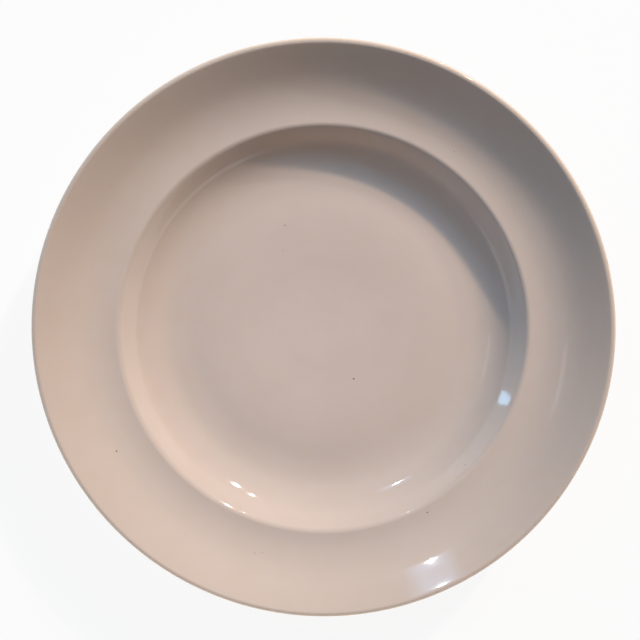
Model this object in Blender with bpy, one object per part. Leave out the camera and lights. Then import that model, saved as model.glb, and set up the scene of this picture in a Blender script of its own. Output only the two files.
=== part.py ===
"""A round glazed plate: a wide flared rim, a deep rounded well and a foot ring to stand on.

The plate is turned about +Z, and its origin is the middle of the foot ring's resting plane. It is a fired
clay body under a coat of glaze. One coat runs from the middle of the well over the lip and down the back to
the foot ring, a second one covers the panel inside the ring, and the ring's resting edge is bare clay.
Sizes are in metres and angles in degrees.
"""

import math

import bmesh
import bpy
from mathutils import Matrix, Vector

# Rim: a nearly level inner stretch that curves up into a straight flare with a half-round lip
RIM_RADIUS = 0.145
RIM_THICKNESS = 0.0036
RIM_FLARE_RADIUS = 0.1194
RIM_CURVE = 0.0475
RIM_LEVEL_SLOPE = 2.5
RIM_FLARE_SLOPE = 33.0

# Well: the verge is the shoulder where the rim turns down into the wall
VERGE_RADIUS = 0.1042
VERGE_ROUNDING = 0.004
WELL_DEPTH = 0.016
WALL_SLOPE = 46.0
WALL_CURVE = 0.03
WALL_THICKNESS = 0.006
BACK_ROUNDING = 0.008

# Floor of the well, between its flat top and the panel below it, and the foot ring round that panel
FLOOR_THICKNESS = 0.0055
FOOT_RADIUS = 0.079
FOOT_WIDTH = 0.0055
FOOT_HEIGHT = 0.0042
FOOT_ROUNDING = 0.0012
FOOT_FILLET = 0.0018

# Glaze, and the gap that keeps each coat clear of the clay
GLAZE_THICKNESS = 0.0003
GLAZE_GAP = 0.0003

# How finely the shape is divided: steps of a full turn, and how far an arc's chords may cut inside it
TURN_STEPS = 48
ARC_ERROR = 0.00015
LEAST_ARC_STEPS = 2
SAME_POINT = 1e-7
SHARP_ANGLE = 50.0

# Colour, roughness and metallic value of each material
GLAZE_LOOK = ((0.72, 0.62, 0.55, 1.0), 0.12, 0.0)
CLAY_LOOK = ((0.70, 0.60, 0.48, 1.0), 0.8, 0.0)


# Lines of the section. The section is followed outwards over the front, round the lip and back in below,
# so the clay is always on the right.


def line(point, degrees):
    """A straight line through a point of the section (radius, height), followed at an angle from outwards."""
    angle = math.radians(degrees)
    return Vector(point), Vector((math.cos(angle), math.sin(angle)))


def deeper(place, depth):
    """The same line moved into the clay."""
    point, along = place
    return point + depth * Vector((along.y, -along.x)), along


def turned_back(place):
    point, along = place
    return point, -along


def height_at(place, radius):
    point, along = place
    return point.y + (radius - point.x) * along.y / along.x


def meeting_point(first, second):
    (start, along), (other, other_along) = first, second
    return start + along * ((other - start).cross(other_along) / along.cross(other_along))


def section_lines():
    """The straight lines of the plate's outer surface in order, each with the rounding where it meets the next."""
    well_height = FOOT_HEIGHT + FLOOR_THICKNESS
    verge_height = well_height + WELL_DEPTH
    foot_inner_radius = FOOT_RADIUS - FOOT_WIDTH
    lip_rounding = RIM_THICKNESS / 2

    floor = line((0, well_height), 0)
    wall = line((VERGE_RADIUS, verge_height), WALL_SLOPE)
    rim_level = line((VERGE_RADIUS, verge_height), RIM_LEVEL_SLOPE)
    rim_flare = line((RIM_FLARE_RADIUS, height_at(rim_level, RIM_FLARE_RADIUS)), RIM_FLARE_SLOPE)

    rim_middle = deeper(rim_flare, lip_rounding)
    lip_centre_radius = RIM_RADIUS - lip_rounding
    lip_centre = Vector((lip_centre_radius, height_at(rim_middle, lip_centre_radius)))
    lip = line(lip_centre + lip_rounding * rim_middle[1], RIM_FLARE_SLOPE - 90)

    back_flare = turned_back(deeper(rim_flare, RIM_THICKNESS))
    back_level = turned_back(deeper(rim_level, RIM_THICKNESS))
    back_wall = turned_back(deeper(wall, WALL_THICKNESS))
    back_shoulder = line((FOOT_RADIUS, FOOT_HEIGHT), 180)
    foot_outside = line((FOOT_RADIUS, FOOT_HEIGHT), -90)
    foot_bottom = line((FOOT_RADIUS, 0), 180)
    foot_inside = line((foot_inner_radius, 0), 90)
    panel = line((foot_inner_radius, FOOT_HEIGHT), 180)

    return {
        "floor": (floor, WALL_CURVE),
        "wall": (wall, VERGE_ROUNDING),
        "rim_level": (rim_level, RIM_CURVE),
        "rim_flare": (rim_flare, lip_rounding),
        "lip": (lip, lip_rounding),
        "back_flare": (back_flare, RIM_CURVE + RIM_THICKNESS),
        "back_level": (back_level, BACK_ROUNDING),
        "back_wall": (back_wall, WALL_CURVE + WALL_THICKNESS),
        "back_shoulder": (back_shoulder, FOOT_FILLET),
        "foot_outside": (foot_outside, FOOT_ROUNDING),
        "foot_bottom": (foot_bottom, FOOT_ROUNDING),
        "foot_inside": (foot_inside, FOOT_FILLET),
        "panel": (panel, 0.0),
    }


# Corners, roundings and runs of points along the section


def turn_between(first, second):
    """The angle from one line to the next, positive where the section turns to the left into a hollow."""
    along, next_along = first[1], second[1]
    return math.atan2(along.cross(next_along), along.dot(next_along))


def fitted_roundings(lines, roundings):
    """The roundings, each made small enough that neighbouring arcs don't meet on the line they share."""
    corners = [meeting_point(a, b) for a, b in zip(lines, lines[1:])]
    corners = [Vector((0, lines[0][0].y)), *corners, Vector((0, lines[-1][0].y))]
    tangents = [r * math.tan(abs(turn_between(a, b)) / 2) for a, b, r in zip(lines, lines[1:], roundings)]
    reach = [0.0, *tangents, 0.0]
    room = [
        (end - start).length / max(reach[i] + reach[i + 1], SAME_POINT)
        for i, (start, end) in enumerate(zip(corners, corners[1:]))
    ]
    return [r * min(1.0, room[i], room[i + 1]) for i, r in enumerate(roundings)]


def arc_steps(turn, rounding):
    widest = 2 * math.acos(max(0.0, 1 - ARC_ERROR / rounding))
    return max(LEAST_ARC_STEPS, math.ceil(abs(turn) / widest))


def arc(first, second, rounding, steps):
    """Points of the arc that rounds the corner between two lines."""
    turn = turn_between(first, second)
    along = first[1]
    side = Vector((-along.y, along.x)) * math.copysign(1, turn)
    start = meeting_point(first, second) - along * rounding * math.tan(abs(turn) / 2)
    centre = start + side * rounding
    return [centre + Matrix.Rotation(turn * i / steps, 2) @ (start - centre) for i in range(steps + 1)]


class Section:
    """The plate's section, from which every piece takes its outline."""

    def __init__(self):
        named = section_lines()
        self.names = list(named)
        self.lines = [place for place, _ in named.values()]
        self.roundings = fitted_roundings(self.lines, [rounding for _, rounding in named.values()][:-1])

    def run(self, first, last, depth, bare=()):
        """Points from one line to another, at a depth below the surface, except on lines that stay bare."""
        names = self.names[self.names.index(first) : self.names.index(last) + 1]
        lines = [self.place(name, 0.0 if name in bare else depth) for name in names]
        points = []
        for name, here, after in zip(names, lines, lines[1:]):
            turn = turn_between(here, after)
            rounding = self.roundings[self.names.index(name)]
            steps = arc_steps(turn, rounding)
            points += arc(here, after, rounding + math.copysign(depth, turn), steps)
        return points

    def place(self, name, depth):
        return deeper(self.lines[self.names.index(name)], depth)

    def on_axis(self, name, depth):
        return Vector((0, self.place(name, depth)[0].y))

    def glaze_end(self, name, depth):
        """Where the glaze stops on a side of the foot ring: at the top of the ring's rounded edge."""
        edge = self.roundings[self.names.index("foot_outside")]
        return Vector((self.place(name, depth)[0].x, edge))


# The three pieces, each an outline from the axis round to the axis again


def clay_outline(section):
    depth = GLAZE_THICKNESS + GLAZE_GAP
    around = section.run("floor", "panel", depth, bare=("foot_bottom",))
    return [section.on_axis("floor", depth), *around, section.on_axis("panel", depth)]


def coat_outline(section):
    """The front, lip and back coat: out along its surface and home along its clay side."""
    sides = []
    for depth in (0.0, GLAZE_THICKNESS):
        run = section.run("floor", "foot_outside", depth)
        sides.append([section.on_axis("floor", depth), *run, section.glaze_end("foot_outside", depth)])
    surface, clay_side = sides
    return surface + clay_side[::-1]


def panel_outline(section):
    """The coat inside the foot ring: out along its clay side and home along its surface."""
    sides = []
    for depth in (GLAZE_THICKNESS, 0.0):
        run = section.run("foot_inside", "panel", depth)
        sides.append([section.glaze_end("foot_inside", depth), *run, section.on_axis("panel", depth)])
    clay_side, surface = sides
    return clay_side[::-1] + surface


def without_repeats(points):
    kept = points[:1]
    for point in points[1:]:
        if (point - kept[-1]).length > SAME_POINT:
            kept.append(point)
    return kept


def turned_piece(name, outline, material, parent):
    """An object made by turning an outline about the plate's axis."""
    shape = bmesh.new()
    ring = [shape.verts.new((point.x, 0, point.y)) for point in without_repeats(outline)]
    edges = [shape.edges.new(pair) for pair in zip(ring, ring[1:])]
    bmesh.ops.spin(
        shape,
        geom=ring + edges,
        cent=(0, 0, 0),
        axis=(0, 0, 1),
        angle=math.tau,
        steps=TURN_STEPS,
        use_merge=True,
    )
    bmesh.ops.remove_doubles(shape, verts=shape.verts, dist=SAME_POINT)
    bmesh.ops.recalc_face_normals(shape, faces=shape.faces)
    mesh = bpy.data.meshes.new(name)
    shape.to_mesh(mesh)
    shape.free()
    mesh.shade_smooth()
    mesh.set_sharp_from_angle(angle=math.radians(SHARP_ANGLE))
    mesh.materials.append(material)
    piece = bpy.data.objects.new(name, mesh)
    piece.parent = parent
    bpy.context.scene.collection.objects.link(piece)


def make_material(name, look):
    colour, roughness, metallic = look
    material = bpy.data.materials.new(name)
    material.use_nodes = True
    shader = material.node_tree.nodes["Principled BSDF"]
    shader.inputs["Base Color"].default_value = colour
    shader.inputs["Roughness"].default_value = roughness
    shader.inputs["Metallic"].default_value = metallic
    return material


def main():
    for old in list(bpy.data.objects):
        bpy.data.objects.remove(old)
    plate = bpy.data.objects.new("plate", None)
    bpy.context.scene.collection.objects.link(plate)
    section = Section()
    clay = make_material("fired_clay", CLAY_LOOK)
    glaze = make_material("cream_glaze", GLAZE_LOOK)
    turned_piece("clay_body", clay_outline(section), clay, plate)
    turned_piece("glaze_coat", coat_outline(section), glaze, plate)
    turned_piece("base_glaze", panel_outline(section), glaze, plate)


main()
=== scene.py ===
"""Looks of a round glazed plate: finely turned surfaces, cream glaze, a bare clay foot, light and camera.

The plate lies on its foot ring and is turned about +Z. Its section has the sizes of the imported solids.
Sizes are in metres and angles in degrees.
"""

import math

import bpy
from mathutils import Matrix, Vector, noise


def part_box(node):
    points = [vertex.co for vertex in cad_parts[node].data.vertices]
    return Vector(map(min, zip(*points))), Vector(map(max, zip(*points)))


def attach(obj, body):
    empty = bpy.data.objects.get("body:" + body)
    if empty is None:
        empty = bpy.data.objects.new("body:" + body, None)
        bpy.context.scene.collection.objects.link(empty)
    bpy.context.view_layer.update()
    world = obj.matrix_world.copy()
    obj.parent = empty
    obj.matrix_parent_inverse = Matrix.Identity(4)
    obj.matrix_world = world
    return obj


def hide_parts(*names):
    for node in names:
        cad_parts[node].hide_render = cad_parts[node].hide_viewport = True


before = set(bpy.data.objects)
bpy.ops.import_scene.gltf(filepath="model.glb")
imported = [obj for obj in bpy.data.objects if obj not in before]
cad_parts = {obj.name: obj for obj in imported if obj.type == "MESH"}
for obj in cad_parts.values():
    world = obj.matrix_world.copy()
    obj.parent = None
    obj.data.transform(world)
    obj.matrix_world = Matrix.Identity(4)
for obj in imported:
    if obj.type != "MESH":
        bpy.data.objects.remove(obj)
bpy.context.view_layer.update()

# Rim: a nearly level inner stretch that curves up into a straight flare with a half-round lip
RIM_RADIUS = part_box("glaze_coat")[1].x
RIM_THICKNESS = 0.0036
RIM_FLARE_RADIUS = 0.1194
RIM_CURVE = 0.0475
RIM_LEVEL_SLOPE = 2.5
RIM_FLARE_SLOPE = 33.0

# Well: the verge is the shoulder where the rim turns down into the wall
VERGE_RADIUS = 0.1042
VERGE_ROUNDING = 0.004
WELL_DEPTH = 0.016
WALL_SLOPE = 46.0
WALL_CURVE = 0.03
WALL_THICKNESS = 0.006
BACK_ROUNDING = 0.008

# Floor of the well, between its flat top and the panel below it, and the foot ring round that panel
FLOOR_THICKNESS = 0.0055
FOOT_RADIUS = 0.079
FOOT_WIDTH = 0.0055
FOOT_HEIGHT = 0.0042
FOOT_ROUNDING = 0.0012
FOOT_FILLET = 0.0018

# Glaze on the clay, and how unevenly its lower edge runs round the foot ring
GLAZE_THICKNESS = 0.0003
GLAZE_BOND = 0.00002
GLAZE_EDGE_STEPS = 15
GLAZE_LINE_WAVE = 0.00035
GLAZE_LINE_TURNS = 7.0

# The slight warp that firing leaves in the rim: how far it lifts, and where its two waves peak
WARP_LIFT = 0.00018
WARP_PEAKS = ((2, 35.0, 1.0), (3, 100.0, 0.5))

# Firing and turning leave the section a little uneven: the floor has sunk inside a faint ring, and the rim
# bends by turns less and more. The extra slope is given at each distance from the axis, and the wall at
# STEADY_RADIUS stays where it is. Below FRONT_HEIGHT, inside the floor, a point belongs to the back.
EXTRA_SLOPES = (
    (0, 0),
    (0.008, 0.9),
    (0.0125, 1.9),
    (0.0175, 0.0),
    (0.022, 0.9),
    (0.034, 2.3),
    (0.052, 0.0),
    (0.062, -1.8),
    (0.066, -3.1),
    (0.0685, -2.2),
    (0.072, 1.1),
    (0.075, 3.3),
    (0.0775, 1.7),
    (0.08, 0.0),
    (0.1065, 0.0),
    (0.109, -0.8),
    (0.112, -0.7),
    (0.115, 0.0),
    (0.121, -0.2),
    (0.124, 0.8),
    (0.127, 0.8),
    (0.13, -1.2),
    (0.1315, -1.1),
    (0.134, 0.4),
    (0.1402, 0.5),
    (0.142, -1.8),
    (0.1435, 0.0),
)
STEADY_RADIUS = 0.09
FRONT_HEIGHT = FOOT_HEIGHT + FLOOR_THICKNESS / 2

# Dark iron specks in the glaze: distance from the axis, angle about it and size across
SPECKS = (
    (0.0312, -58.9, 0.00091),
    (0.0572, 110.1, 0.0006),
    (0.0458, 117.0, 0.00043),
    (0.1224, -149.9, 0.00091),
    (0.1207, -106.9, 0.00048),
    (0.1196, -105.2, 0.00043),
    (0.1085, -59.9, 0.00077),
    (0.1013, -43.1, 0.00045),
    (0.1120, 54.3, 0.00048),
    (0.1318, 105.1, 0.00048),
    (0.1290, 144.8, 0.00043),
)
SPECK_SIDES = 12
SPECK_RINGS = (0.45, 0.8, 1.0)
SPECK_PROUD = 0.16
SPECK_SUNK = 0.35
SPECK_WAVE = 0.3
SPECK_WAVE_SCALE = 1.7

# How finely the surfaces are divided, and how much coarser they are where glaze and clay hide each other
TURN_STEPS = 200
ARC_STEP = 3.0
SURFACE_STEP = 0.0016
CURVE_STEP = 0.0006
HIDDEN_COARSER = 3.0
LEAST_ARC_STEPS = 2
SAME_POINT = 1e-7
SHARP_ANGLE = 60.0

# Camera
CAMERA_PLACE = (0.0120, 0.0774, 0.5842)
CAMERA_TARGET = (-0.0009, 0.0082, 0.0392)
CAMERA_LENS = 62.33
SENSOR_WIDTH = 36.0


# Section of the plate, followed outwards over the front, round the lip and back in below


def line(point, degrees):
    """A straight line through a point of the section (radius, height), at an angle from outwards."""
    angle = math.radians(degrees)
    return Vector(point), Vector((math.cos(angle), math.sin(angle)))


def deeper(place, depth):
    """The same line moved into the clay."""
    point, along = place
    return point + depth * Vector((along.y, -along.x)), along


def turned_back(place):
    point, along = place
    return point, -along


def height_at(place, radius):
    point, along = place
    return point.y + (radius - point.x) * along.y / along.x


def meeting_point(first, second):
    (start, along), (other, other_along) = first, second
    return start + along * ((other - start).cross(other_along) / along.cross(other_along))


def section_lines():
    """The straight lines of the plate's surface in order, each with the rounding before the next."""
    well_height = FOOT_HEIGHT + FLOOR_THICKNESS
    verge_height = well_height + WELL_DEPTH
    foot_inner_radius = FOOT_RADIUS - FOOT_WIDTH
    lip_rounding = RIM_THICKNESS / 2

    wall = line((VERGE_RADIUS, verge_height), WALL_SLOPE)
    rim_level = line((VERGE_RADIUS, verge_height), RIM_LEVEL_SLOPE)
    rim_flare = line((RIM_FLARE_RADIUS, height_at(rim_level, RIM_FLARE_RADIUS)), RIM_FLARE_SLOPE)
    rim_middle = deeper(rim_flare, lip_rounding)
    lip_centre_radius = RIM_RADIUS - lip_rounding
    lip_centre = Vector((lip_centre_radius, height_at(rim_middle, lip_centre_radius)))

    return {
        "floor": (line((0, well_height), 0), WALL_CURVE),
        "wall": (wall, VERGE_ROUNDING),
        "rim_level": (rim_level, RIM_CURVE),
        "rim_flare": (rim_flare, lip_rounding),
        "lip": (line(lip_centre + lip_rounding * rim_middle[1], RIM_FLARE_SLOPE - 90), lip_rounding),
        "back_flare": (turned_back(deeper(rim_flare, RIM_THICKNESS)), RIM_CURVE + RIM_THICKNESS),
        "back_level": (turned_back(deeper(rim_level, RIM_THICKNESS)), BACK_ROUNDING),
        "back_wall": (turned_back(deeper(wall, WALL_THICKNESS)), WALL_CURVE + WALL_THICKNESS),
        "back_shoulder": (line((FOOT_RADIUS, FOOT_HEIGHT), 180), FOOT_FILLET),
        "foot_outside": (line((FOOT_RADIUS, FOOT_HEIGHT), -90), FOOT_ROUNDING),
        "foot_bottom": (line((FOOT_RADIUS, 0), 180), FOOT_ROUNDING),
        "foot_inside": (line((foot_inner_radius, 0), 90), FOOT_FILLET),
        "panel": (line((foot_inner_radius, FOOT_HEIGHT), 180), 0.0),
    }


def turn_between(first, second):
    """The angle from one line to the next, positive where the section turns to the left into a hollow."""
    along, next_along = first[1], second[1]
    return math.atan2(along.cross(next_along), along.dot(next_along))


def fitted_roundings(lines, roundings):
    """The roundings, each made small enough that neighbouring arcs don't meet on the line they share."""
    corners = [meeting_point(a, b) for a, b in zip(lines, lines[1:])]
    corners = [Vector((0, lines[0][0].y)), *corners, Vector((0, lines[-1][0].y))]
    tangents = [r * math.tan(abs(turn_between(a, b)) / 2) for a, b, r in zip(lines, lines[1:], roundings)]
    reach = [0.0, *tangents, 0.0]
    room = [
        (end - start).length / max(reach[i] + reach[i + 1], SAME_POINT)
        for i, (start, end) in enumerate(zip(corners, corners[1:]))
    ]
    return [r * min(1.0, room[i], room[i + 1]) for i, r in enumerate(roundings)]


def arc(first, second, rounding, coarser):
    """Points of the arc that rounds the corner between two lines."""
    turn = turn_between(first, second)
    by_angle = math.degrees(abs(turn)) / ARC_STEP
    by_length = abs(turn) * rounding / CURVE_STEP
    steps = max(LEAST_ARC_STEPS, math.ceil(max(by_angle, by_length) / coarser))
    along = first[1]
    side = Vector((-along.y, along.x)) * math.copysign(1, turn)
    start = meeting_point(first, second) - along * rounding * math.tan(abs(turn) / 2)
    centre = start + side * rounding
    return [centre + Matrix.Rotation(turn * i / steps, 2) @ (start - centre) for i in range(steps + 1)]


def filled(points, coarser=1.0):
    """The points with others between them, so that no stretch is longer than a surface step."""
    dense = [points[0]]
    for start, end in zip(points, points[1:]):
        steps = max(1, math.ceil((end - start).length / (SURFACE_STEP * coarser)))
        dense += [start.lerp(end, i / steps) for i in range(1, steps + 1)]
    kept = dense[:1]
    for point in dense[1:]:
        if (point - kept[-1]).length > SAME_POINT:
            kept.append(point)
    return kept


class Section:
    """The plate's section, from which every piece takes its outline."""

    def __init__(self):
        named = section_lines()
        self.names = list(named)
        self.lines = [place for place, _ in named.values()]
        self.roundings = fitted_roundings(self.lines, [rounding for _, rounding in named.values()][:-1])

    def place(self, name, depth):
        return deeper(self.lines[self.names.index(name)], depth)

    def on_axis(self, name, depth):
        return Vector((0, self.place(name, depth)[0].y))

    def run(self, first, last, depth, coarser=1.0, bare=()):
        """Points from one line to another, at a depth below the surface, except on lines that stay bare."""
        names = self.names[self.names.index(first) : self.names.index(last) + 1]
        lines = [self.place(name, 0.0 if name in bare else depth) for name in names]
        points = []
        for name, here, after in zip(names, lines, lines[1:]):
            change = math.copysign(depth, turn_between(here, after))
            points += arc(here, after, self.roundings[self.names.index(name)] + change, coarser)
        return points

    def glaze_edge(self, name):
        """The glaze's rounded lower edge on a side of the foot ring, from its surface in to the clay."""
        bead = GLAZE_THICKNESS / 2
        surface, along = self.place(name, 0.0)
        inwards = Vector((along.y, 0))
        centre = Vector((surface.x, FOOT_ROUNDING + bead)) + bead * inwards
        turns = [math.pi * i / GLAZE_EDGE_STEPS for i in range(GLAZE_EDGE_STEPS + 1)]
        return [centre + bead * Vector((-inwards.x * math.cos(t), -math.sin(t))) for t in turns]


def extra_rise(radius):
    """How much the extra slopes add up to from the axis out to a distance from it."""
    rise = 0.0
    for (start, first), (end, last) in zip(EXTRA_SLOPES, EXTRA_SLOPES[1:]):
        here = min(radius, end)
        if here > start:
            slope = first + (last - first) * (here - start) / (end - start)
            rise += (here - start) * math.radians(first + slope) / 2
    return rise


def uneven(point):
    """A point of the section moved off it, on the front of the floor and on both sides of the rim."""
    if point.y < FRONT_HEIGHT:
        return point
    return point + Vector((0, extra_rise(point.x) - extra_rise(STEADY_RADIUS)))


def clay_outline(section):
    """The clay, finely divided only on the foot ring, where it shows."""
    depth = GLAZE_THICKNESS + GLAZE_BOND
    covered = section.run("floor", "foot_outside", depth, HIDDEN_COARSER)
    foot = section.run("foot_outside", "foot_inside", depth, bare=("foot_bottom",))
    panel = section.run("foot_inside", "panel", depth, HIDDEN_COARSER)
    around = [section.on_axis("floor", depth), *covered, *foot, *panel, section.on_axis("panel", depth)]
    return [uneven(point) for point in filled(around, HIDDEN_COARSER)]


def coat_outline(section):
    """The front, lip and back coat: out along its surface and home along its clay side."""
    edge = section.glaze_edge("foot_outside")
    surface = [section.on_axis("floor", 0.0), *section.run("floor", "foot_outside", 0.0), *edge]
    clay_side = section.run("floor", "foot_outside", GLAZE_THICKNESS, HIDDEN_COARSER)
    home = [edge[-1], *clay_side[::-1], section.on_axis("floor", GLAZE_THICKNESS)]
    return [uneven(point) for point in filled(surface) + filled(home, HIDDEN_COARSER)[1:]]


def panel_outline(section):
    """The coat inside the foot ring: out along its clay side and home along its surface."""
    edge = section.glaze_edge("foot_inside")[::-1]
    clay_side = section.run("foot_inside", "panel", GLAZE_THICKNESS, HIDDEN_COARSER)
    out = [section.on_axis("panel", GLAZE_THICKNESS), *clay_side[::-1], edge[0]]
    surface = [*edge, *section.run("foot_inside", "panel", 0.0), section.on_axis("panel", 0.0)]
    return filled(out, HIDDEN_COARSER) + filled(surface)[1:]


# Pieces turned from the section, with the small unevenness of a fired plate


def eased(value, start, end):
    """0 up to start, 1 from end on, and a smooth rise between."""
    part = min(1.0, max(0.0, (value - start) / (end - start)))
    return part * part * (3 - 2 * part)


def warp(point):
    """How far firing has lifted the rim at a point."""
    angle = math.atan2(point.y, point.x)
    waves = sum(share * math.cos(count * (angle - math.radians(peak))) for count, peak, share in WARP_PEAKS)
    outward = eased(math.hypot(point.x, point.y), FOOT_RADIUS, RIM_RADIUS)
    return Vector((0, 0, WARP_LIFT * outward * waves))


def glaze_line(point):
    """How far the uneven lower edge of the glaze is off its mean height at a point."""
    angle = math.atan2(point.y, point.x)
    around = Vector((math.cos(angle), math.sin(angle), 0)) * GLAZE_LINE_TURNS / math.tau
    low = 1 - eased(point.z, FOOT_ROUNDING, FOOT_HEIGHT - FOOT_FILLET)
    return Vector((0, 0, GLAZE_LINE_WAVE * low * (1 + noise.noise(around))))


def turned_point(radius, angle, height):
    return Vector((radius * math.cos(angle), radius * math.sin(angle), height))


def turned_piece(name, outline, material, *unevenness):
    """An object turned from an outline that starts and ends on the plate's axis, its points then moved."""
    angles = [math.tau * turn / TURN_STEPS for turn in range(TURN_STEPS)]
    points = [turned_point(ring.x, angle, ring.y) for ring in outline[1:-1] for angle in angles]
    first, last = len(points), len(points) + 1
    points += [Vector((0, 0, end.y)) for end in (outline[0], outline[-1])]
    faces = []
    for turn in range(TURN_STEPS):
        column = range(turn, first, TURN_STEPS)
        beside = range((turn + 1) % TURN_STEPS, first, TURN_STEPS)
        faces.append((first, column[0], beside[0]))
        faces += zip(column, column[1:], beside[1:], beside)
        faces.append((column[-1], last, beside[-1]))
    for point in points:
        point += sum((move(point) for move in unevenness), Vector((0, 0, 0)))
    return new_piece(name, points, faces, material)


def new_piece(name, points, faces, material):
    mesh = bpy.data.meshes.new(name)
    mesh.from_pydata(points, [], faces)
    mesh.shade_smooth()
    mesh.set_sharp_from_angle(angle=math.radians(SHARP_ANGLE))
    mesh.materials.append(material)
    piece = bpy.data.objects.new(name, mesh)
    bpy.context.scene.collection.objects.link(piece)
    return piece


def front_at(section, radius):
    """Height and slope of the front at a distance from the axis."""
    middle, lip = section.on_axis("floor", 0.0), section.place("lip", 0.0)[0]
    front = [middle, *section.run("floor", "rim_flare", 0.0), lip]
    for start, end in zip(front, front[1:]):
        if start.x <= radius < end.x:
            slope = (end.y - start.y) / (end.x - start.x)
            return start.y + slope * (radius - start.x), math.atan(slope)


def speck_points(middle, turn, size):
    """Points and faces of one speck, an uneven lens that lies half sunk in the glaze."""
    reach = size / 2
    points = [Vector((0, 0, SPECK_PROUD * reach))]
    rows = [(share, SPECK_PROUD) for share in SPECK_RINGS]
    rows += [(share, -SPECK_SUNK) for share in SPECK_RINGS[-2::-1]]
    for share, rise in rows:
        height = rise * reach * math.sqrt(1 - share**2)
        for side in range(SPECK_SIDES):
            angle = math.tau * side / SPECK_SIDES
            around = Vector((math.cos(angle), math.sin(angle), 0))
            wave = 1 + SPECK_WAVE * noise.noise(around * SPECK_WAVE_SCALE + middle / size)
            points.append(around * reach * share * wave + Vector((0, 0, height)))
    points.append(Vector((0, 0, -SPECK_SUNK * reach)))
    faces = []
    last = len(points) - 1
    for side in range(SPECK_SIDES):
        beside = (side + 1) % SPECK_SIDES
        rings = [1 + row * SPECK_SIDES for row in range(len(rows))]
        faces.append((0, 1 + side, 1 + beside))
        faces += [(a + side, b + side, b + beside, a + beside) for a, b in zip(rings, rings[1:])]
        faces.append((rings[-1] + side, last, rings[-1] + beside))
    return [middle + turn @ point for point in points], faces


def specks_piece(section, material):
    points, faces = [], []
    for radius, degrees, size in SPECKS:
        angle = math.radians(degrees)
        height, slope = front_at(section, radius)
        middle = turned_point(radius, angle, uneven(Vector((radius, height))).y)
        middle += warp(middle)
        turn = Matrix.Rotation(angle, 3, "Z") @ Matrix.Rotation(-slope, 3, "Y")
        more, their_faces = speck_points(middle, turn, size)
        faces += [tuple(len(points) + corner for corner in face) for face in their_faces]
        points += more
    return new_piece("glaze_specks", points, faces, material)


# Materials. A range of four numbers turns a value between the first two into one between the last two.
PLAIN_DETAIL = 2.0
FINE_DETAIL = 3.0
NOISE_ROUGHNESS = 0.55


def new_material(name):
    material = bpy.data.materials.new(name)
    material.use_nodes = True
    return material, material.node_tree, material.node_tree.nodes["Principled BSDF"]


def add_node(tree, kind, inputs=None, **settings):
    """A new node with its settings, and with each named input linked or set."""
    made = tree.nodes.new(kind)
    for name, value in settings.items():
        setattr(made, name, value)
    for name, value in (inputs or {}).items():
        if isinstance(value, bpy.types.NodeSocket):
            tree.links.new(value, made.inputs[name])
        else:
            made.inputs[name].default_value = value
    return made


def worked(tree, operation, *values):
    return add_node(tree, "ShaderNodeMath", dict(enumerate(values)), operation=operation).outputs[0]


def ranged(tree, value, start, end, first=0.0, last=1.0):
    """A smooth change from one value to another while the input goes from start to end."""
    inputs = {"Value": value, "From Min": start, "From Max": end, "To Min": first, "To Max": last}
    return add_node(tree, "ShaderNodeMapRange", inputs, interpolation_type="SMOOTHSTEP").outputs["Result"]


def mixed(tree, share, first, second, blend="MIX"):
    inputs = {"Factor": share, 6: first, 7: second}
    return add_node(tree, "ShaderNodeMix", inputs, data_type="RGBA", blend_type=blend).outputs[2]


def clouds(tree, place, scale, detail=PLAIN_DETAIL):
    inputs = {"Vector": place, "Scale": scale, "Detail": detail, "Roughness": NOISE_ROUGHNESS}
    return add_node(tree, "ShaderNodeTexNoise", inputs).outputs["Fac"]


def bumped(tree, height, distance, below=None):
    """A normal with a bump of a given height, laid on an earlier one."""
    inputs = {"Height": height, "Distance": distance, "Strength": 1.0}
    if below:
        inputs["Normal"] = below
    return add_node(tree, "ShaderNodeBump", inputs).outputs["Normal"]


def vector_worked(tree, operation, output, inputs):
    return add_node(tree, "ShaderNodeVectorMath", inputs, operation=operation).outputs[output]


def about_axis(tree):
    """The object's own coordinates, the distance from the axis, and coordinates that run in rings."""
    place = add_node(tree, "ShaderNodeTexCoord").outputs["Object"]
    flat = vector_worked(tree, "MULTIPLY", "Vector", {0: place, 1: (1.0, 1.0, 0.0)})
    radius = vector_worked(tree, "LENGTH", "Value", {0: flat})
    unit = vector_worked(tree, "NORMALIZE", "Vector", {0: flat})
    slow = vector_worked(tree, "SCALE", "Vector", {0: unit, "Scale": RING_DRIFT})
    out = add_node(tree, "ShaderNodeCombineXYZ", {"Z": radius}).outputs[0]
    rings = vector_worked(tree, "ADD", "Vector", {0: slow, 1: out})
    return place, flat, radius, rings


# Glaze: paler in the middle of the well, deeper towards the rim, and a little greyer on the wall, which
# begins and ends between two distances from the axis. Clouds of tone are this many to the metre, and bump
# heights are in metres.
GLAZE_CENTRE = (0.750, 0.638, 0.578, 1.0)
GLAZE_MIDDLE = (0.700, 0.600, 0.530, 1.0)
GLAZE_OUTER = (0.645, 0.550, 0.480, 1.0)
# Colour of the lip, paler and yellower: partly wear, partly painted light on the lip's rounded outer edge
GLAZE_LIP_WORN_AND_LIT = (0.760, 0.640, 0.490, 1.0)
GLAZE_SHADE = (0.940, 0.930, 0.920, 1.0)
GLAZE_TINT = (1.0, 0.985, 0.960, 1.0)
GLAZE_WALL_GREY = (0.958, 0.958, 0.962, 1.0)
GLAZE_PRICK = (0.420, 0.330, 0.260, 1.0)
WALL_START = (0.085, 0.093)
WALL_END = (0.103, 0.106)
CLOUD_SCALE = 26.0
MOTTLE_SCALE = 130.0
RING_SCALE = 170.0
RING_DRIFT = 0.0035
PEEL_SCALE = 210.0
WAVE_SCALE = 34.0
PRICK_SCALE = 55.0
PRICK_SIZE = 0.010
PRICK_CHANCE = 0.62
PRICK_CORE = 0.4
PRICK_SHARE = 0.55
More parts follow.
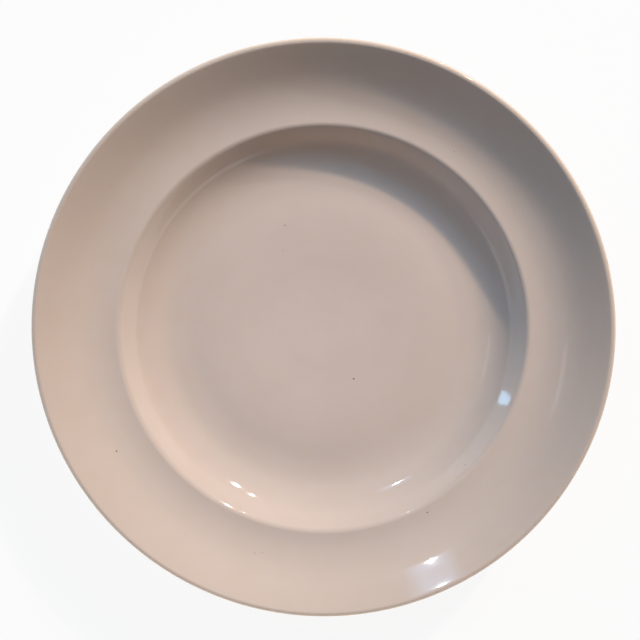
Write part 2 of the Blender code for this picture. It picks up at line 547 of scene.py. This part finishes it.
# How the lip's paler colour, partly wear and partly painted light, is spread over the clouds
LIP_WEAR_AND_LIGHT = (0.3, 0.75, 0.4, 0.9)
CLOUD_SHARE = (0.3, 0.7, 0.0, 0.42)
MOTTLE_SHARE = (0.35, 0.7, 0.0, 0.6)
RING_SHARE = (0.35, 0.65, 0.0, 0.12)
PEEL_BUMP = 0.000002
WAVE_BUMP = 0.00007
RING_BUMP = 0.000012
GLAZE_ROUGHNESS = (0.35, 0.68, 0.046, 0.067)
GLAZE_PATCHES = 0.4
GLAZE_IOR = 1.5


def make_glaze():
    """Cream glaze: clouded tone, faint turning rings, pinpricks, and a gloss that isn't quite level."""
    material, tree, shader = new_material("cream_glaze_look")
    place, flat, radius, rings = about_axis(tree)
    cloud = clouds(tree, place, CLOUD_SCALE, FINE_DETAIL)
    mottle = clouds(tree, place, MOTTLE_SCALE)
    ring = clouds(tree, rings, RING_SCALE, FINE_DETAIL)

    colour = mixed(tree, ranged(tree, radius, 0.0, VERGE_RADIUS), GLAZE_CENTRE, GLAZE_MIDDLE)
    colour = mixed(tree, ranged(tree, radius, VERGE_RADIUS, RIM_RADIUS), colour, GLAZE_OUTER)
    before_rim = ranged(tree, radius, *WALL_END, 1.0, 0.0)
    on_wall = worked(tree, "MULTIPLY", ranged(tree, radius, *WALL_START), before_rim)
    colour = mixed(tree, on_wall, colour, GLAZE_WALL_GREY, "MULTIPLY")
    # The lip turns paler and yellower in clouds: partly wear, partly painted light that lifts the shade on
    # its outer edge
    at_lip = ranged(tree, radius, RIM_RADIUS - RIM_THICKNESS / 2, RIM_RADIUS)
    worn_and_lit_lip = worked(tree, "MULTIPLY", at_lip, ranged(tree, cloud, *LIP_WEAR_AND_LIGHT))
    colour = mixed(tree, worn_and_lit_lip, colour, GLAZE_LIP_WORN_AND_LIT)
    colour = mixed(tree, ranged(tree, cloud, *CLOUD_SHARE), colour, GLAZE_SHADE, "MULTIPLY")
    colour = mixed(tree, ranged(tree, mottle, *MOTTLE_SHARE), colour, GLAZE_TINT, "MULTIPLY")
    colour = mixed(tree, ranged(tree, ring, *RING_SHARE), colour, GLAZE_SHADE, "MULTIPLY")

    scattered = {"Vector": flat, "Scale": PRICK_SCALE}
    cells = add_node(tree, "ShaderNodeTexVoronoi", scattered, voronoi_dimensions="2D")
    chance = add_node(tree, "ShaderNodeSeparateColor", {"Color": cells.outputs["Color"]}).outputs["Red"]
    chosen = worked(tree, "GREATER_THAN", chance, PRICK_CHANCE)
    away = cells.outputs["Distance"]
    near = ranged(tree, away, PRICK_CORE * PRICK_SIZE, PRICK_SIZE, PRICK_SHARE, 0.0)
    colour = mixed(tree, worked(tree, "MULTIPLY", chosen, near), colour, GLAZE_PRICK)
    tree.links.new(colour, shader.inputs["Base Color"])

    small = worked(tree, "MULTIPLY", mottle, 1 - GLAZE_PATCHES)
    patchy = worked(tree, "MULTIPLY_ADD", cloud, GLAZE_PATCHES, small)
    tree.links.new(ranged(tree, patchy, *GLAZE_ROUGHNESS), shader.inputs["Roughness"])
    normal = bumped(tree, clouds(tree, place, WAVE_SCALE), WAVE_BUMP)
    normal = bumped(tree, ring, RING_BUMP, normal)
    normal = bumped(tree, clouds(tree, place, PEEL_SCALE), PEEL_BUMP, normal)
    tree.links.new(normal, shader.inputs["Normal"])
    shader.inputs["IOR"].default_value = GLAZE_IOR
    return material


# Iron specks under the glaze
SPECK_DARK = (0.105, 0.070, 0.050, 1.0)
SPECK_BROWN = (0.27, 0.175, 0.115, 1.0)
SPECK_SCALE = 2600.0
SPECK_BLOTCH = (0.35, 0.65)
SPECK_ROUGHNESS = (0.3, 0.7, 0.15, 0.4)
SPECK_BUMP = 0.00002


def make_iron():
    """Iron that has burnt through the glaze: dark brown, blotched and as glossy as the glaze round it."""
    material, tree, shader = new_material("iron_speck_look")
    place = add_node(tree, "ShaderNodeTexCoord").outputs["Object"]
    blotch = clouds(tree, place, SPECK_SCALE)
    colour = mixed(tree, ranged(tree, blotch, *SPECK_BLOTCH), SPECK_DARK, SPECK_BROWN)
    tree.links.new(colour, shader.inputs["Base Color"])
    tree.links.new(ranged(tree, blotch, *SPECK_ROUGHNESS), shader.inputs["Roughness"])
    tree.links.new(bumped(tree, blotch, SPECK_BUMP), shader.inputs["Normal"])
    return material


# Bare clay: sandy, with paler and darker grains, and rubbed smooth and grey where it stands
CLAY_PALE = (0.640, 0.540, 0.425, 1.0)
CLAY_WARM = (0.560, 0.440, 0.320, 1.0)
CLAY_GRAIN = (0.300, 0.215, 0.150, 1.0)
CLAY_RUBBED = (0.500, 0.455, 0.395, 1.0)
CLAY_CLOUD_SCALE = 60.0
CLAY_SAND_SCALE = 1500.0
CLAY_GRAIN_SCALE = 900.0
CLAY_CLOUD_SHARE = (0.35, 0.65)
CLAY_GRAIN_SHARE = (0.12, 0.3, 0.7, 0.0)
CLAY_SAND_SHARE = (0.35, 0.7, 0.0, 0.35)
CLAY_RUB_WAVE = 0.0004
CLAY_RUB_SHARE = (0.0001, 0.0005, 0.7, 0.0)
CLAY_ROUGHNESS = (0.3, 0.7, 0.72, 0.95)
CLAY_SAND_BUMP = 0.00007
CLAY_CLOUD_BUMP = 0.00015


def make_clay():
    """Bare fired clay: clouded, sandy and matt, with dark grains."""
    material, tree, shader = new_material("fired_clay_look")
    place = add_node(tree, "ShaderNodeTexCoord").outputs["Object"]
    height = add_node(tree, "ShaderNodeSeparateXYZ", {"Vector": place}).outputs["Z"]
    cloud = clouds(tree, place, CLAY_CLOUD_SCALE, FINE_DETAIL)
    sand = clouds(tree, place, CLAY_SAND_SCALE, FINE_DETAIL)
    cells = add_node(tree, "ShaderNodeTexVoronoi", {"Vector": place, "Scale": CLAY_GRAIN_SCALE})
    grain = cells.outputs["Distance"]
    colour = mixed(tree, ranged(tree, cloud, *CLAY_CLOUD_SHARE), CLAY_PALE, CLAY_WARM)
    raised = worked(tree, "MULTIPLY_ADD", cloud, CLAY_RUB_WAVE, height)
    colour = mixed(tree, ranged(tree, raised, *CLAY_RUB_SHARE), colour, CLAY_RUBBED)
    colour = mixed(tree, ranged(tree, grain, *CLAY_GRAIN_SHARE), colour, CLAY_GRAIN)
    colour = mixed(tree, ranged(tree, sand, *CLAY_SAND_SHARE), colour, CLAY_WARM)
    tree.links.new(colour, shader.inputs["Base Color"])
    tree.links.new(ranged(tree, sand, *CLAY_ROUGHNESS), shader.inputs["Roughness"])
    normal = bumped(tree, cloud, CLAY_CLOUD_BUMP)
    tree.links.new(bumped(tree, sand, CLAY_SAND_BUMP, normal), shader.inputs["Normal"])
    return material


# Stage: floor, world, lamps and camera


def seen_directly(tree):
    """1 for rays from the camera, from gloss and through glass, and 0 for the light that falls on things."""
    path = add_node(tree, "ShaderNodeLightPath").outputs
    either = worked(tree, "MAXIMUM", path["Is Camera Ray"], path["Is Glossy Ray"])
    return worked(tree, "MAXIMUM", either, path["Is Transmission Ray"])


# The floor is partly plain paint, which takes the plate's shadow, and partly an even white. FLOOR_WHITE is
# the white's share as the floor is seen, and FLOOR_GLOW its share in the light that the floor gives back.
# WORLD_LIGHT falls evenly from all round.
FLOOR_SIZE = 12.0
FLOOR_COLOUR = (0.9, 0.9, 0.9, 1.0)
FLOOR_ROUGHNESS = 0.9
FLOOR_WHITE = 0.9
FLOOR_GLOW = 0.6
WORLD_LIGHT = (0.15, 0.14, 0.125, 1.0)
WHITE = (1.0, 1.0, 1.0, 1.0)

# The studio's walls are white up to an elevation, where the dim room above them begins within a degree
WALL_WHITE = (0.955, 0.955, 0.955, 1.0)
ROOM_DIM = (0.06, 0.06, 0.06, 1.0)
WALL_TOP = (13.3, 14.3)

# One side of the studio, about a direction given as azimuth and elevation, is open to the room. The wall
# turns from white to dim between two angles from that direction.
OPEN_SIDE = (252.0, 12.0)
OPEN_REACH = (40.0, 22.0)
OPEN_DIM = (0.3, 0.3, 0.3, 1.0)

# Each lamp: azimuth from +X and elevation of its direction, distance, width, height and brightness
# in red, green and blue. The small ones show in the gloss of the glaze, and the soft ones only light it.
SPARKS = {
    "key_spark": (57.9, 31.5, 3.78, 0.13, 0.28, (340.0, 325.0, 310.0)),
    "second_spark": (64.82, 26.8, 3.775, 0.052, 0.12, (900.0, 860.0, 820.0)),
    "pale_spark": (122.40, 48.69, 2.933, 0.045, 0.032, (1500.0, 1500.0, 1500.0)),
    "pale_panel": (121.39, 47.53, 2.934, 0.25, 0.14, (0.5, 1.0, 1.7)),
    "pale_panel_middle": (121.39, 47.53, 2.936, 0.36, 0.22, (0.5, 1.0, 1.7)),
    "pale_panel_edge": (121.39, 47.53, 2.938, 0.48, 0.31, (0.4, 0.9, 1.5)),
    "high_strip": (183.92, 57.0, 2.962, 0.46, 0.30, (0.9, 0.9, 0.9)),
    "low_window": (167.5, 8.50, 2.905, 0.29, 0.25, (4.6, 8.4, 12.4)),
}
SOFT_LAMPS = {
    "key": (57.95, 29.6, 4.0, 0.165, 0.165, (1357.0, 971.0, 661.0)),
    "second_key": (64.87, 26.05, 4.0, 0.165, 0.165, (140.0, 112.0, 85.0)),
    "high_key": (57.0, 36.2, 4.0, 0.38, 0.38, (51.3, 76.6, 111.9)),
    "left_fill": (150.0, 35.0, 2.5, 1.8, 1.8, (0.01, 0.57, 1.22)),
    "near_fill": (265.0, 25.0, 2.5, 1.6, 1.2, (0.73, 0.30, 0.10)),
    "low_fill": (250.0, 0.53, 2.5, 3.0, 0.045, (150.0, 140.0, 128.0)),
}
ROUND_LAMPS = ("key_spark", "second_spark", "pale_spark", "low_window", "key", "second_key", "high_key")


def make_floor():
    half = FLOOR_SIZE / 2
    mesh = bpy.data.meshes.new("floor")
    corners = [(-half, -half, 0), (half, -half, 0), (half, half, 0), (-half, half, 0)]
    mesh.from_pydata(corners, [], [(0, 1, 2, 3)])
    material, tree, shader = new_material("floor_white")
    shader.inputs["Base Color"].default_value = FLOOR_COLOUR
    shader.inputs["Roughness"].default_value = FLOOR_ROUGHNESS
    shader.inputs["Specular IOR Level"].default_value = 0.0
    share = worked(tree, "MULTIPLY_ADD", seen_directly(tree), FLOOR_WHITE - FLOOR_GLOW, FLOOR_GLOW)
    glow = add_node(tree, "ShaderNodeEmission", {"Color": WHITE, "Strength": 1.0})
    layers = {0: share, 1: shader.outputs["BSDF"], 2: glow.outputs["Emission"]}
    both = add_node(tree, "ShaderNodeMixShader", layers)
    tree.links.new(both.outputs["Shader"], tree.nodes["Material Output"].inputs["Surface"])
    mesh.materials.append(material)
    floor = bpy.data.objects.new("floor", mesh)
    bpy.context.scene.collection.objects.link(floor)


def make_world():
    world = bpy.data.worlds.new("studio")
    bpy.context.scene.world = world
    world.use_nodes = True
    tree = world.node_tree
    towards = add_node(tree, "ShaderNodeTexCoord").outputs["Generated"]
    rise = add_node(tree, "ShaderNodeSeparateXYZ", {"Vector": towards}).outputs["Z"]
    above = ranged(tree, rise, *[math.sin(math.radians(elevation)) for elevation in WALL_TOP])
    aside = vector_worked(tree, "DOT_PRODUCT", "Value", {0: towards, 1: direction_of(*OPEN_SIDE)})
    opened = ranged(tree, aside, *[math.cos(math.radians(angle)) for angle in OPEN_REACH])
    wall = mixed(tree, opened, WALL_WHITE, OPEN_DIM)
    room = mixed(tree, above, wall, ROOM_DIM)
    light = mixed(tree, seen_directly(tree), WORLD_LIGHT, room)
    tree.links.new(light, tree.nodes["Background"].inputs["Color"])


def direction_of(azimuth, elevation):
    turn, rise = math.radians(azimuth), math.radians(elevation)
    return Vector((math.cos(rise) * math.cos(turn), math.cos(rise) * math.sin(turn), math.sin(rise)))


def aimed(thing, place, target, up):
    """Puts an object at a place, with its -Z towards a target and its +Y as near to up as it can be."""
    back = (Vector(place) - Vector(target)).normalized()
    right = Vector(up).cross(back).normalized()
    turned = Matrix((right, back.cross(right), back)).transposed().to_4x4()
    thing.matrix_world = Matrix.Translation(place) @ turned


def make_lamps():
    for name, (azimuth, elevation, distance, width, height, brightness) in (SPARKS | SOFT_LAMPS).items():
        light = bpy.data.lights.new(name, "AREA")
        light.shape = "ELLIPSE" if name in ROUND_LAMPS else "RECTANGLE"
        light.size = width
        light.size_y = height
        strongest = max(brightness)
        light.color = [level / strongest for level in brightness]
        face = width * height * (math.pi / 4 if name in ROUND_LAMPS else 1.0)
        light.energy = math.pi * face * strongest
        lamp = bpy.data.objects.new(name, light)
        bpy.context.scene.collection.objects.link(lamp)
        lamp.visible_camera = False
        lamp.visible_glossy = name in SPARKS
        aimed(lamp, direction_of(azimuth, elevation) * distance, (0, 0, 0), (0, 0, 1))


def make_camera():
    view = bpy.data.cameras.new("camera")
    view.lens = CAMERA_LENS
    view.sensor_width = SENSOR_WIDTH
    camera = bpy.data.objects.new("camera", view)
    bpy.context.scene.collection.objects.link(camera)
    aimed(camera, CAMERA_PLACE, CAMERA_TARGET, (0, 1, 0))
    bpy.context.scene.camera = camera


# The plate


def make_plate():
    section = Section()
    glaze = make_glaze()
    coat = turned_piece("glaze_surface", coat_outline(section), glaze, warp, glaze_line)
    panel = turned_piece("panel_glaze_surface", panel_outline(section), glaze, glaze_line)
    body = turned_piece("clay_foot_body", clay_outline(section), make_clay(), warp)
    specks = specks_piece(section, make_iron())
    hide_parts("glaze_coat")
    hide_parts("base_glaze")
    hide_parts("clay_body")
    for piece in (coat, panel, body, specks):
        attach(piece, "root")


make_plate()
make_floor()
make_world()
make_lamps()
make_camera()
bpy.context.scene.view_settings.view_transform = "Standard"
